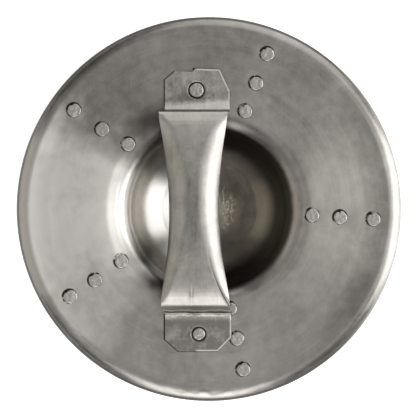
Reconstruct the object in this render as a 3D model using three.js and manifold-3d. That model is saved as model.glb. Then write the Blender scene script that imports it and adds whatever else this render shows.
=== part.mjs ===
// A steel buckler, lying on its boss with its back and its handle up.
// Millimetres, +Z up. The origin is the middle of the small flat at the boss's lowest point,
// +Y runs along the handle, and every height is counted from that flat.

import Module from "manifold-3d";
import * as THREE from "three";
import { mergeVertices } from "three/addons/utils/BufferGeometryUtils.js";

const wasm = await Module();
wasm.setup();

// Plate: one spun sheet that is boss, lip, plate, dish and turned rim in one.
const PLATE_SHEET = 1.6;
const PLATE_RADIUS = 150;
const PLATE_SEGMENTS = 60;
const BOSS_FLAT_RADIUS = 11;
const BOSS_FLOOR_RADIUS = 49;
const BOSS_FLOOR_SLOPE = 37;
const BOSS_MOUTH_RADIUS = 60.7;
const BOSS_MOUTH_SLOPE = 79;
const LIP_RADIUS = 74.8;
const DISH_START_RADIUS = 118;
const DISH_END_RADIUS = 139.5;
const DISH_SLOPE = 7;
const RIM_START_RADIUS = 143.5;
const RIM_START_SLOPE = -14;
const RIM_EDGE_SLOPE = -60;

// Handle: one strip of thicker sheet, with a flat tab at each end and a rolled, waisted grip.
const HANDLE_SHEET = 2;
const GRIP_TOP_HEIGHT = 20.5;
const GRIP_BOW = 5;
const GRIP_BOW_POWER = 8;
const GRIP_HALF_FLAT = 7;
const GRIP_ROLLED_STRIP = 15;
const GRIP_ROLL = 75;
const GRIP_ROLL_POWER = 0.6;
const GRIP_FRONT_BEND_Y = 74.2;
const GRIP_REAR_BEND_Y = -73.6;
const TAB_FRONT_BEND_Y = 84;
const TAB_REAR_BEND_Y = -85.5;
const TAB_BEND_RADIUS = 6;
const FOOT_BEND_RADIUS = 3;
const GRIP_BEND_RADIUS = 2;
const TAB_RUN = 6.5;
const TAB_OVERLAP = 3;
const GRIP_STEPS = 18;
const BEND_STEPS = 3;
const ACROSS_STEPS = 10;

// Each riser stands on a low sloping foot. The foot's top is this far over the tab.
const FRONT_FOOT = { y: 76.4, rise: 4.3 };
const REAR_FOOT = { y: -80.9, rise: 1.5 };

// Strip's middle and half width where it leaves each tab and at each end of the grip.
const FRONT_TAB_STRIP = { middle: -9.2, half: 25.2 };
const GRIP_FRONT_STRIP = { middle: -12.4, half: 26.5 };
const GRIP_REAR_STRIP = { middle: -10.6, half: 26.5 };
const REAR_TAB_STRIP = { middle: -8.5, half: 25.8 };

// Snipped corners of the two tabs, from the left edge round to the right edge.
const FRONT_TAB_CORNERS = [
  [-34.1, 100.4],
  [-26.4, 107.3],
  [-12.9, 106.8],
  [-10.8, 109.3],
  [8.3, 108.5],
  [16.3, 91.4],
];
const REAR_TAB_CORNERS = [
  [-34.4, -101.3],
  [-23.8, -110.6],
  [6.8, -110.6],
  [17.3, -100],
];

// Rivets: a low domed head on the front, a shank, and a hammered tail on the back.
const RIVET_SHANK_RADIUS = 2.5;
const RIVET_HEAD_RADIUS = 5.5;
const RIVET_HEAD_HEIGHT = 2.2;
const FIELD_TAIL_RADIUS = 5.2;
const HANDLE_TAIL_RADIUS = 5.4;
const RIVET_TAIL_HEIGHT = 1.1;
const RIVET_SEGMENTS = 12;
const HANDLE_RIVETS = [
  { name: "handle_rivet_front", x: -9.7, y: 92.4 },
  { name: "handle_rivet_rear", x: -7.9, y: -97.3 },
];

// Five rows of three rivets run outwards. They were set out by hand, so none is quite in its
// place: each is a radius from the middle and an angle from +X.
const RIVET_ROWS = [
  { inner: [81.1, 69.5], middle: [104.5, 69.3], outer: [128.7, 69.3] },
  { inner: [80.3, 141.3], middle: [103.5, 143.3], outer: [129.8, 143.8] },
  { inner: [79.5, 211], middle: [104.5, 212.2], outer: [127.6, 212.3] },
  { inner: [79.6, 281.9], middle: [103.5, 282.3], outer: [127.9, 282.1] },
  { inner: [80.8, 356.4], middle: [102.6, 356.3], outer: [128.4, 356.4] },
];

const GAP = 0.3;
const HOLE_RADIUS = RIVET_SHANK_RADIUS + GAP;
// The handle lies over two tails of the fourth row, and they are cut back to this corner of it.
const HANDLE_ROOM = { right: 17.8, top: -79.6, bottom: -100.4 };

const steel = { metalness: 1 };
const PLATE_STEEL = new THREE.MeshStandardMaterial({ ...steel, color: 0x8f8b86, roughness: 0.38 });
const HANDLE_STEEL = new THREE.MeshStandardMaterial({ ...steel, color: 0x9b9893, roughness: 0.34 });
const RIVET_STEEL = new THREE.MeshStandardMaterial({ ...steel, color: 0x9a9791, roughness: 0.42 });

const radians = THREE.MathUtils.degToRad;

// ---- Solids -----------------------------------------------------------------------------------

function solid(geometry) {
  const bare = geometry.clone();
  bare.deleteAttribute("normal");
  bare.deleteAttribute("uv");
  const merged = mergeVertices(bare, 1e-4);
  const corners = merged.index.array;
  const triangles = [];
  for (let i = 0; i < corners.length; i += 3) {
    const [a, b, c] = corners.slice(i, i + 3);
    if (a !== b && b !== c && c !== a) triangles.push(a, b, c);
  }
  return new wasm.Manifold(
    new wasm.Mesh({
      numProp: 3,
      vertProperties: new Float32Array(merged.attributes.position.array),
      triVerts: new Uint32Array(triangles),
    }),
  );
}

function geometryOf(manifold) {
  const mesh = manifold.getMesh();
  const geometry = new THREE.BufferGeometry();
  geometry.setAttribute("position", new THREE.BufferAttribute(mesh.vertProperties, 3));
  geometry.setIndex(new THREE.BufferAttribute(mesh.triVerts, 1));
  geometry.computeVertexNormals();
  return geometry;
}

function turned(outline, segments) {
  const points = outline.map(([radius, height]) => new THREE.Vector2(radius, height));
  return new THREE.LatheGeometry(points, segments).rotateX(Math.PI / 2);
}

// ---- Plate ------------------------------------------------------------------------------------

// The back surface from its middle outwards. Each knot ends a round stretch that starts with the
// slope of the knot before it, so a stretch between equal slopes is straight.
const BACK_KNOTS = [
  { radius: 0, slope: 0, steps: 0 },
  { radius: BOSS_FLAT_RADIUS, slope: 0, steps: 1 },
  { radius: BOSS_FLOOR_RADIUS, slope: radians(BOSS_FLOOR_SLOPE), steps: 4 },
  { radius: BOSS_MOUTH_RADIUS, slope: radians(BOSS_MOUTH_SLOPE), steps: 3 },
  { radius: LIP_RADIUS, slope: 0, steps: 4 },
  { radius: DISH_START_RADIUS, slope: 0, steps: 1 },
  { radius: DISH_END_RADIUS, slope: radians(DISH_SLOPE), steps: 2 },
  { radius: RIM_START_RADIUS, slope: radians(RIM_START_SLOPE), steps: 2 },
  { radius: PLATE_RADIUS, slope: radians(RIM_EDGE_SLOPE), steps: 3 },
];

function pointOnStretch(from, to, radius) {
  const bend = Math.sin(to.slope) - Math.sin(from.slope);
  if (Math.abs(bend) < 1e-9) {
    return { radius, slope: from.slope, height: (radius - from.radius) * Math.tan(from.slope) };
  }
  const roundness = (to.radius - from.radius) / bend;
  const slope = Math.asin(Math.sin(from.slope) + (radius - from.radius) / roundness);
  return { radius, slope, height: roundness * (Math.cos(from.slope) - Math.cos(slope)) };
}

function backLine() {
  const line = [{ radius: 0, slope: 0, height: PLATE_SHEET }];
  for (let k = 1; k < BACK_KNOTS.length; k++) {
    const [from, to] = [BACK_KNOTS[k - 1], BACK_KNOTS[k]];
    const base = line.at(-1).height;
    for (let step = 1; step <= to.steps; step++) {
      const radius = THREE.MathUtils.lerp(from.radius, to.radius, step / to.steps);
      const point = pointOnStretch(from, to, radius);
      line.push({ ...point, height: base + point.height });
    }
  }
  return line;
}

function backAt(radius) {
  let base = PLATE_SHEET;
  for (let k = 1; k < BACK_KNOTS.length; k++) {
    const [from, to] = [BACK_KNOTS[k - 1], BACK_KNOTS[k]];
    if (radius <= to.radius) {
      const point = pointOnStretch(from, to, radius);
      return { ...point, height: base + point.height };
    }
    base += pointOnStretch(from, to, to.radius).height;
  }
  throw new Error("outside the plate");
}

const BACK_HEIGHT = backAt(LIP_RADIUS).height;

function plateSolid() {
  const back = backLine();
  const front = back.map(({ radius, slope, height }) => [
    radius + Math.sin(slope) * PLATE_SHEET,
    height - Math.cos(slope) * PLATE_SHEET,
  ]);
  const outline = [...front, ...back.map(({ radius, height }) => [radius, height]).reverse()];
  return solid(turned(outline, PLATE_SEGMENTS));
}

// Places something on the plate's back at x, y, standing square to the surface there.
function stand(object, { x, y }) {
  const { slope, height } = backAt(Math.hypot(x, y));
  const angle = Math.atan2(y, x);
  const tilt = Math.sin(slope);
  const normal = new THREE.Vector3(
    -tilt * Math.cos(angle),
    -tilt * Math.sin(angle),
    Math.cos(slope),
  );
  object.position.set(x, y, height);
  object.quaternion.setFromUnitVectors(new THREE.Vector3(0, 0, 1), normal);
  object.updateMatrix();
  return object;
}

function holeAt(spot) {
  const depth = 4 * (PLATE_SHEET + HANDLE_SHEET);
  const drill = new THREE.CylinderGeometry(HOLE_RADIUS, HOLE_RADIUS, depth, RIVET_SEGMENTS);
  const place = stand(new THREE.Object3D(), spot);
  return solid(drill.rotateX(Math.PI / 2).applyMatrix4(place.matrix));
}

// ---- Handle -----------------------------------------------------------------------------------

// The strip's middle line, seen from the side: straight runs joined by round bends.
function roundedLine(corners) {
  const line = [];
  corners.forEach(({ at, bend = 0 }, index) => {
    if (!bend) {
      line.push(at.clone());
      return;
    }
    const before = corners[index - 1].at.clone().sub(at).normalize();
    const after = corners[index + 1].at.clone().sub(at).normalize();
    const half = Math.acos(before.dot(after)) / 2;
    const reach = bend / Math.tan(half);
    const start = at.clone().addScaledVector(before, reach);
    const end = at.clone().addScaledVector(after, reach);
    const middle = at.clone().addScaledVector(before.clone().add(after).normalize(), bend / Math.sin(half));
    const turn = Math.PI - 2 * half;
    const sign = Math.sign(before.cross(after)) || 1;
    for (let step = 0; step <= BEND_STEPS; step++) {
      const angle = (-sign * turn * step) / BEND_STEPS;
      line.push(start.clone().rotateAround(middle, angle));
    }
    if (end.distanceTo(line.at(-1)) > 1e-3) throw new Error("a bend doesn't meet its run");
  });
  return line;
}

function gripBow(y) {
  const end = y > 0 ? GRIP_FRONT_BEND_Y : GRIP_REAR_BEND_Y;
  return GRIP_BOW * Math.min(1, Math.abs(y / end)) ** GRIP_BOW_POWER;
}

function handleLine() {
  const tab = BACK_HEIGHT + GAP + HANDLE_SHEET / 2;
  const grip = BACK_HEIGHT + GRIP_TOP_HEIGHT - HANDLE_SHEET / 2;
  const corners = [
    { at: new THREE.Vector2(TAB_FRONT_BEND_Y + TAB_RUN, tab) },
    { at: new THREE.Vector2(TAB_FRONT_BEND_Y, tab), bend: TAB_BEND_RADIUS },
    { at: new THREE.Vector2(FRONT_FOOT.y, tab + FRONT_FOOT.rise), bend: FOOT_BEND_RADIUS },
    { at: new THREE.Vector2(GRIP_FRONT_BEND_Y, grip - GRIP_BOW), bend: GRIP_BEND_RADIUS },
  ];
  for (let step = 1; step < GRIP_STEPS; step++) {
    const y = THREE.MathUtils.lerp(GRIP_FRONT_BEND_Y, GRIP_REAR_BEND_Y, step / GRIP_STEPS);
    corners.push({ at: new THREE.Vector2(y, grip - gripBow(y)) });
  }
  corners.push(
    { at: new THREE.Vector2(GRIP_REAR_BEND_Y, grip - GRIP_BOW), bend: GRIP_BEND_RADIUS },
    { at: new THREE.Vector2(REAR_FOOT.y, tab + REAR_FOOT.rise), bend: FOOT_BEND_RADIUS },
    { at: new THREE.Vector2(TAB_REAR_BEND_Y, tab), bend: TAB_BEND_RADIUS },
    { at: new THREE.Vector2(TAB_REAR_BEND_Y - TAB_RUN, tab) },
  );
  return roundedLine(corners);
}

// How the strip is placed and rolled where its middle line is at y.
function stripAt(y) {
  const along = (y - GRIP_REAR_BEND_Y) / (GRIP_FRONT_BEND_Y - GRIP_REAR_BEND_Y);
  const grip = THREE.MathUtils.clamp(along, 0, 1);
  const [tab, footY, endY] =
    y > 0
      ? [FRONT_TAB_STRIP, FRONT_FOOT.y, GRIP_FRONT_BEND_Y]
      : [REAR_TAB_STRIP, REAR_FOOT.y, GRIP_REAR_BEND_Y];
  const riser = THREE.MathUtils.smoothstep(Math.abs(y), Math.abs(endY), Math.abs(footY));
  const middle = THREE.MathUtils.lerp(GRIP_REAR_STRIP.middle, GRIP_FRONT_STRIP.middle, grip);
  const half = THREE.MathUtils.lerp(GRIP_REAR_STRIP.half, GRIP_FRONT_STRIP.half, grip);
  const fromMiddle = 2 * grip - 1;
  return {
    middle: THREE.MathUtils.lerp(middle, tab.middle, riser),
    half: THREE.MathUtils.lerp(half, tab.half, riser),
    roll: radians(GRIP_ROLL) * (1 - fromMiddle ** 2) ** GRIP_ROLL_POWER,
  };
}

// Across the strip: level in the middle, then a round bend, then a straight side.
function across(distance, roll) {
  const side = Math.sign(distance);
  const bent = THREE.MathUtils.clamp(Math.abs(distance) - GRIP_HALF_FLAT, 0, GRIP_ROLLED_STRIP);
  const straight = Math.max(0, Math.abs(distance) - GRIP_HALF_FLAT - GRIP_ROLLED_STRIP);
  const level = Math.min(Math.abs(distance), GRIP_HALF_FLAT);
  if (roll < 1e-6) return { x: distance, drop: 0, angle: 0 };
  const radius = GRIP_ROLLED_STRIP / roll;
  const angle = bent / radius;
  return {
    x: side * (level + radius * Math.sin(angle) + straight * Math.cos(angle)),
    drop: radius * (1 - Math.cos(angle)) + straight * Math.sin(angle),
    angle: side * angle,
  };
}

// A flat blank, cut to length and then bent along the middle line row by row.
function bentStrip() {
  const line = handleLine();
  const rows = line.length - 1;
  const blank = new THREE.BoxGeometry(2, rows, HANDLE_SHEET, ACROSS_STEPS, rows, 1);
  const position = blank.attributes.position;
  for (let i = 0; i < position.count; i++) {
    const row = Math.round(rows / 2 - position.getY(i));
    const tangent = line[Math.min(row + 1, rows)].clone().sub(line[Math.max(row - 1, 0)]).normalize();
    const outward = new THREE.Vector2(tangent.y, -tangent.x);
    const { middle, half, roll } = stripAt(line[row].x);
    const { x, drop, angle } = across(position.getX(i) * half, roll);
    const lift = position.getZ(i) * Math.cos(angle) - drop;
    const place = line[row].clone().addScaledVector(outward, lift);
    position.setXYZ(i, middle + x + position.getZ(i) * Math.sin(angle), place.x, place.y);
  }
  return solid(blank);
}

function tabSolid(corners, strip, innerY) {
  const outline = new THREE.Shape([
    new THREE.Vector2(strip.middle - strip.half, innerY),
    ...corners.map(([x, y]) => new THREE.Vector2(x, y)),
    new THREE.Vector2(strip.middle + strip.half, innerY),
  ]);
  const plate = new THREE.ExtrudeGeometry(outline, { depth: HANDLE_SHEET, bevelEnabled: false });
  return solid(plate.translate(0, 0, BACK_HEIGHT + GAP));
}

function handleSolid() {
  const reach = TAB_RUN - TAB_OVERLAP;
  return bentStrip()
    .add(tabSolid(FRONT_TAB_CORNERS, FRONT_TAB_STRIP, TAB_FRONT_BEND_Y + reach))
    .add(tabSolid(REAR_TAB_CORNERS, REAR_TAB_STRIP, TAB_REAR_BEND_Y - reach));
}

// ---- Rivets -----------------------------------------------------------------------------------

// A rivet that stands on the plate's back, with its tail over what it holds down there.
function rivetGeometry(tailRadius, held) {
  const headFace = -PLATE_SHEET - GAP;
  const tailFace = held + GAP;
  const outline = [
    [0, headFace - RIVET_HEAD_HEIGHT],
    [0.7 * RIVET_HEAD_RADIUS, headFace - 0.65 * RIVET_HEAD_HEIGHT],
    [RIVET_HEAD_RADIUS, headFace],
    [RIVET_SHANK_RADIUS, headFace],
    [RIVET_SHANK_RADIUS, tailFace],
    [tailRadius, tailFace],
    [0.93 * tailRadius, tailFace + 0.65 * RIVET_TAIL_HEIGHT],
    [0, tailFace + RIVET_TAIL_HEIGHT],
  ];
  return turned(outline, RIVET_SEGMENTS);
}

function cutByHandle(geometry, { x, y }) {
  const { right, top, bottom } = HANDLE_ROOM;
  const reach = 4 * FIELD_TAIL_RADIUS;
  const room = new THREE.BoxGeometry(reach, top - bottom, reach);
  room.translate(right - reach / 2 - x, (top + bottom) / 2 - y, reach / 2);
  return geometryOf(solid(geometry).subtract(solid(room)));
}

function fieldRivetSpots() {
  return RIVET_ROWS.flatMap((places, row) =>
    Object.entries(places).map(([place, [radius, degrees]]) => ({
      name: `rivet_row_${row + 1}_${place}`,
      x: radius * Math.cos(radians(degrees)),
      y: radius * Math.sin(radians(degrees)),
    })),
  );
}

function fieldRivet(spot) {
  const whole = rivetGeometry(FIELD_TAIL_RADIUS, 0);
  const { right, top, bottom } = HANDLE_ROOM;
  const reachesHandle =
    Math.abs(spot.x) < right + FIELD_TAIL_RADIUS &&
    spot.y < top + FIELD_TAIL_RADIUS &&
    spot.y > bottom - FIELD_TAIL_RADIUS;
  const geometry = reachesHandle ? cutByHandle(whole, spot) : geometryOf(solid(whole));
  return named(geometry, RIVET_STEEL, spot.name);
}

function handleRivet(spot) {
  const geometry = rivetGeometry(HANDLE_TAIL_RADIUS, GAP + HANDLE_SHEET);
  return named(geometryOf(solid(geometry)), RIVET_STEEL, spot.name);
}

// ---- Buckler ----------------------------------------------------------------------------------

function named(geometry, material, name) {
  const mesh = new THREE.Mesh(geometry, material);
  mesh.name = name;
  return mesh;
}

const fieldSpots = fieldRivetSpots();
const drilled = (body, spots) => spots.reduce((left, spot) => left.subtract(holeAt(spot)), body);
const plate = drilled(plateSolid(), [...fieldSpots, ...HANDLE_RIVETS]);
const handle = drilled(handleSolid(), HANDLE_RIVETS);

const buckler = new THREE.Group();
buckler.add(named(geometryOf(plate), PLATE_STEEL, "plate"));
buckler.add(named(geometryOf(handle), HANDLE_STEEL, "handle"));
for (const spot of fieldSpots) buckler.add(stand(fieldRivet(spot), spot));
for (const spot of HANDLE_RIVETS) buckler.add(stand(handleRivet(spot), spot));

export default buckler;
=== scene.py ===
"""A steel buckler shield, lying on its boss with its back and its handle up.

Every length is in metres, +Z is up and +Y runs along the handle.
"""

import math
from functools import reduce
from itertools import pairwise

import bmesh
import bpy
from bpy.props import FloatProperty, FloatVectorProperty, IntProperty, PointerProperty
from mathutils import Euler, Matrix, Vector, noise


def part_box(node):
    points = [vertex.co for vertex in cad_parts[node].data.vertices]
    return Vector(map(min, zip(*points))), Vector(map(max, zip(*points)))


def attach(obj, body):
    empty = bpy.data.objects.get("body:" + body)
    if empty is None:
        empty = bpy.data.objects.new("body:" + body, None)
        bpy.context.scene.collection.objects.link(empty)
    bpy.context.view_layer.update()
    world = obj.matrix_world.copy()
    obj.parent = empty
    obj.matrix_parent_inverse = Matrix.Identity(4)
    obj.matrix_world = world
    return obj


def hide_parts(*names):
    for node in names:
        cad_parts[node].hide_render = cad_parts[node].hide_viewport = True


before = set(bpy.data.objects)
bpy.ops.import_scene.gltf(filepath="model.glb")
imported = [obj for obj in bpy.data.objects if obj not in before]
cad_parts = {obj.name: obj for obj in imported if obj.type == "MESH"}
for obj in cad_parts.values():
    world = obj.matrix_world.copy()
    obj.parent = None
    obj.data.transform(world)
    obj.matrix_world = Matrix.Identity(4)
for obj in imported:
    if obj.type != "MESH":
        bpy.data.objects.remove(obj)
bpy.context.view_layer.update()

bl_info = {
    "name": "Steel Buckler",
    "version": (1, 0, 0),
    "blender": (4, 5, 0),
    "location": "View3D > Sidebar > Buckler",
    "description": "Builds a spun steel buckler with a strap handle, rivet by rivet",
    "category": "Add Mesh",
}

MM = 0.001

# ---- Sizes that follow from the frame ---------------------------------------------------------

PLATE_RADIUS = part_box("plate")[1].x
HANDLE_LOW, HANDLE_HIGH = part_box("handle")
TAB_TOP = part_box("handle_rivet_front")[1].z - 1.4 * MM

# ---- Plate ------------------------------------------------------------------------------------

BOSS_FLAT_RADIUS = 11 * MM
BOSS_FLOOR_RADIUS = 49 * MM
BOSS_FLOOR_SLOPE = math.radians(37)
BOSS_MOUTH_RADIUS = 60.7 * MM
BOSS_MOUTH_SLOPE = math.radians(79)
LIP_RADIUS = 74.8 * MM
DISH_START_RADIUS = 118 * MM
DISH_END_RADIUS = 139.5 * MM
DISH_SLOPE = math.radians(7)
RIM_START_RADIUS = 143.5 * MM
RIM_START_SLOPE = math.radians(-14)
RIM_EDGE_SLOPE = math.radians(-60)
CUT_ROUNDING = 0.3 * MM

# Where hammering and handling have moved the sheet.
RAISED_ROW = 2
RAISED_ROW_LIFT = 0.45 * MM
RIVET_DIMPLE = 0.2 * MM
LIP_SINK = 0.5 * MM
BOSS_RING_RADIUS = 37.8 * MM
BOSS_RING_DEPTH = 0.12 * MM

# Painted sheen on the plate's back outside the boss, a lighter colour for reflected light, by degrees from
# +X.
PAINTED_SHEEN = (
    (0, 0.24), (60, 0.27), (95, 0.16), (130, 0.13), (142, 0.2),
    (149, 0.45), (158, 0.9), (165, 1), (200, 1), (213, 0.62),
    (235, 0.34), (262, 0.26), (300, 0.32), (335, 0.25), (360, 0.24),
)

# How brightly the plate's front is polished.
FRONT_POLISH = 0.4

# Patches of painted shade, where the back's colour is darkened to stand in for shade: degrees
# from +X, radius in millimetres, half width in degrees, half width in millimetres, and strength.
PAINTED_SHADE_PATCHES = (
    (122, 82, 24, 16, 0.75),
    (140, 60, 12, 8, 0.5),
    (82, 64, 14, 13, 0.6),
    (214, 60, 18, 10, 0.7),
    (236, 72, 16, 10, 0.9),
    (328, 134, 20, 14, 0.4),
    (300, 70, 10, 6, 0.4),
    (270, 143, 18, 2.5, 0.55),
)

# ---- Handle -----------------------------------------------------------------------------------

TAB_GAP = 0.3 * MM
GRIP_BOW = 5 * MM
GRIP_BOW_POWER = 8
GRIP_HALF_FLAT = 2.5 * MM
GRIP_END_FLAT = 20 * MM
GRIP_ROLLED_STRIP = 19 * MM
GRIP_BEND_RADIUS = 2 * MM
WAIST_CUT = 4.5 * MM
TAB_RUN = 6.5 * MM

# The grip's outline from above is that of a strip with this flat and bend, rolled by this much.
OUTLINE_HALF_FLAT = 7 * MM
OUTLINE_BEND = 15 * MM
OUTLINE_ROLL = math.radians(79)
OUTLINE_POWER = 0.6

# Each end of the handle: where its bends lie along Y, how far the foot of the riser is over the
# tab, how fast the grip flattens towards it, and the strip's middle and half width.
FRONT_END = {
    "tab_bend": 84 * MM,
    "tab_bend_radius": 15 * MM,
    "foot": 76.4 * MM,
    "foot_rise": 4.3 * MM,
    "foot_bend_radius": 2.2 * MM,
    "grip_bend": 74.2 * MM,
    "flattening": 3.0,
    "tab_strip": (-9.2 * MM, 25.2 * MM),
    "grip_strip": (-12.4 * MM, 26.5 * MM),
}
REAR_END = {
    "tab_bend": -85.5 * MM,
    "tab_bend_radius": 16 * MM,
    "foot": -80.9 * MM,
    "foot_rise": 1.5 * MM,
    "foot_bend_radius": 2.2 * MM,
    "grip_bend": -73.6 * MM,
    "flattening": 1.5,
    "tab_strip": (-8.5 * MM, 25.8 * MM),
    "grip_strip": (-10.6 * MM, 26.5 * MM),
}

# The handle's mesh: rows along each tab, and columns across the strip.
TAB_ROWS = 46
STRIP_COLUMNS = 124

# The two hammered bends: where each lies along Y, its width and its share of the hammering.
HAMMERED_BENDS = ((80.5 * MM, 3 * MM, 0.2), (-83 * MM, 2.4 * MM, 1.5))
LEDGE_PLACE = -79.3 * MM
DENT_PLACE = (-13.6 * MM, -65 * MM)

# The crease in the grip's right flange: where it starts along Y, how far it runs, and where it
# lies along X at its start and its end.
CREASE_START = -19 * MM
CREASE_RUN = 54.6 * MM
CREASE_SIDES = (-2 * MM, 15 * MM)

# Snipped ends of the tabs in millimetres, from the left edge to the right edge.
FRONT_TAB_CORNERS = (
    (-34.4, 100.4),
    (-26.4, 107.3),
    (-12.9, 106.8),
    (-10.8, 109.3),
    (8.3, 108.5),
    (16.3, 91.4),
)
REAR_TAB_CORNERS = ((-34.4, -101.3), (-23.8, -110.6), (6.8, -110.6), (17.3, -100))

# The tabs as convex outlines, clockwise from above.
FRONT_SPLIT = -11.8
TAB_OUTLINES = (
    ((-34.4, 80), *FRONT_TAB_CORNERS[:3], (FRONT_SPLIT, 106.8), (FRONT_SPLIT, 80)),
    ((FRONT_SPLIT, 80), (FRONT_SPLIT, 109.3), *FRONT_TAB_CORNERS[3:], (16.0, 80)),
    ((17.3, -82), *REAR_TAB_CORNERS[::-1], (-34.4, -82)),
)

# ---- Rivets -----------------------------------------------------------------------------------

ROWS = range(1, 6)
PLACES = ("inner", "middle", "outer")
FIELD_RIVETS = [f"rivet_row_{row}_{place}" for row in ROWS for place in PLACES]
HANDLE_RIVETS = ["handle_rivet_front", "handle_rivet_rear"]

FIELD_TAIL_RADIUS = 5.2 * MM
HANDLE_TAIL_RADIUS = 5.4 * MM
HEAD_RADIUS = 5.5 * MM
TAIL_SHOULDER = 0.6 * MM
SMALLER_REAR_TAIL = 0.8 * MM

# The rear tab lies against two tails of the fourth row, which are flat there.
TAB_ROOM = {"right": 17.8 * MM, "top": -79.6 * MM, "bottom": -100.4 * MM}

# ---- Colours on the steel ---------------------------------------------------------------------

PLATE_SCRATCH = (0.80, 0.76, 0.70, 1)
# Warm tint painted on the boss's shaded side.
SHADED_BOSS_TINT = (1.0, 0.95, 0.84, 1)
WORN_STEEL = (1.0, 0.90, 0.74, 1)
# Dark of the plate's grime and of its painted shade.
PLATE_GRIME_AND_PAINTED_SHADE = (0.035, 0.032, 0.027, 1)
HANDLE_SCRATCH = (0.82, 0.80, 0.76, 1)
# Painted highlight along the tabs' right-hand edges.
TAB_EDGE_HIGHLIGHT = (0.97, 0.96, 0.94, 1)
# Dark of the handle's rivet seams and of its painted shade.
HANDLE_SEAMS_AND_PAINTED_SHADE = (0.02, 0.018, 0.016, 1)
LEDGE_PAINTED_HIGHLIGHT = (0.9, 0.88, 0.85, 1)
LIT_EDGE = (1.0, 0.98, 0.95, 1)
RIVET_FLECKS_AND_PAINTED_SHADE = (0.03, 0.028, 0.025, 1)
RIVET_SCRATCH = (0.85, 0.83, 0.80, 1)


# ---- Settings ---------------------------------------------------------------------------------


def length(name, description, default, least=0.0):
    """A setting that holds a length."""
    return FloatProperty(name=name, description=description, default=default, min=least, unit="LENGTH")


def colour(name, description, default):
    """A setting that holds a colour."""
    return FloatVectorProperty(
        name=name,
        description=description,
        default=default,
        subtype="COLOR",
        min=0,
        max=1,
    )


class BucklerPlateSettings(bpy.types.PropertyGroup):
    sheet: length("Sheet", "Thickness of the spun sheet", 1.6 * MM, 0.5 * MM)
    warp: length("Warp", "How far hammering the rivets has moved the sheet", 2.5 * MM)
    steps: IntProperty(
        name="Steps Around",
        description="Steps of the spin that makes the plate",
        default=420,
        min=32,
    )
    dark: colour("Dull Steel", "Colour of the steel where its polish is dull", (0.36, 0.34, 0.315))
    # The bright steel shows mostly where the painted sheen lightens the back.
    light: colour("Bright Steel", "Colour of the steel where it is freshly brushed", (0.99, 0.965, 0.93))


class BucklerHandleSettings(bpy.types.PropertyGroup):
    sheet: length("Sheet", "Thickness of the handle's sheet", 2 * MM, 0.5 * MM)
    hammering: length("Hammering", "Depth of the hammer marks along the bends", 0.3 * MM)
    dark: colour("Stained Steel", "Colour of the stained steel", (0.30, 0.285, 0.265))
    light: colour("Rubbed Steel", "Colour of the steel where hands have rubbed it", (0.76, 0.74, 0.71))


class BucklerRivetSettings(bpy.types.PropertyGroup):
    shank: length("Shank Radius", "Radius of a rivet's shank", 2.5 * MM, MM)
    tail_height: length("Tail Height", "How far a hammered tail stands over its sheet", 1.2 * MM, 0.2 * MM)
    head_height: length("Head Height", "Height of the low dome on the front", 2.2 * MM, 0.5 * MM)
    steel: colour("Rivet Steel", "Colour of the hammered tails", (0.8, 0.78, 0.745))


class BucklerStageSettings(bpy.types.PropertyGroup):
    camera_height: length("Camera Height", "Height of the camera over the floor", 1.7, 0.5)
    view_width: length("View Width", "Width of what the camera sees at the height of the plate", 0.324, 0.1)
    floor: colour("Floor", "Colour of the pale floor", (0.93, 0.93, 0.93))
    surroundings: FloatProperty(
        name="Surroundings",
        description="Brightness of the grey that surrounds the stage",
        default=0.08,
        min=0,
    )


# ---- Mesh helpers -----------------------------------------------------------------------------


def clamp(value, low=0.0, high=1.0):
    return max(low, min(high, value))


def smooth_step(low, high, value):
    part = clamp((value - low) / (high - low))
    return part * part * (3 - 2 * part)


def lerp(start, end, part):
    return start + (end - start) * part


def plateau(value, rise_from, rise_to, fall_from, fall_to):
    """Rises smoothly from 0 to 1, stays there and falls smoothly back to 0."""
    return smooth_step(rise_from, rise_to, value) * (1 - smooth_step(fall_from, fall_to, value))


def bump_at(distance, width):
    """A soft hill, 1 at no distance and nearly 0 past its width."""
    return math.exp(-((distance / width) ** 2) * 2)


def wander(place, size, seed):
    """Smooth noise from -1 to 1 whose features are about size across."""
    return noise.noise(Vector((place[0] / size, place[1] / size, seed * 7.31)))


def chain(bm, points):
    """A run of vertices joined by edges, in the XZ plane."""
    verts = [bm.verts.new((radius, 0, height)) for radius, height in points]
    edges = [bm.edges.new(pair) for pair in pairwise(verts)]
    return verts + edges


def spin_full(bm, geom, steps):
    bmesh.ops.spin(
        bm,
        geom=geom,
        cent=(0, 0, 0),
        axis=(0, 0, 1),
        dvec=(0, 0, 0),
        angle=math.tau,
        steps=steps,
        use_merge=True,
        use_normal_flip=False,
        use_duplicate=False,
    )
    bmesh.ops.remove_doubles(bm, verts=bm.verts, dist=0.001 * MM)
    bmesh.ops.recalc_face_normals(bm, faces=bm.faces)


def finished_piece(name, bm, material):
    """Turns a bmesh into a piece that stands for the node of the same name."""
    mesh = bpy.data.meshes.new(name)
    bmesh.ops.recalc_face_normals(bm, faces=bm.faces)
    bm.to_mesh(mesh)
    bm.free()
    mesh.shade_smooth()
    mesh.materials.append(material)
    piece = bpy.data.objects.new("steel_" + name, mesh)
    bpy.context.scene.collection.objects.link(piece)
    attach(piece, "root")
    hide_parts(name)
    return piece


# ---- Plate's shape ----------------------------------------------------------------------------


def back_knots():
    """Radius and slope where each round stretch of the plate's back ends, with its steps."""
    return (
        (0.0, 0.0, 0),
        (BOSS_FLAT_RADIUS, 0.0, 6),
        (BOSS_FLOOR_RADIUS, BOSS_FLOOR_SLOPE, 34),
        (BOSS_MOUTH_RADIUS, BOSS_MOUTH_SLOPE, 20),
        (LIP_RADIUS, 0.0, 26),
        (DISH_START_RADIUS, 0.0, 34),
        (DISH_END_RADIUS, DISH_SLOPE, 17),
        (RIM_START_RADIUS, RIM_START_SLOPE, 6),
        (PLATE_RADIUS, RIM_EDGE_SLOPE, 12),
    )


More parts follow.
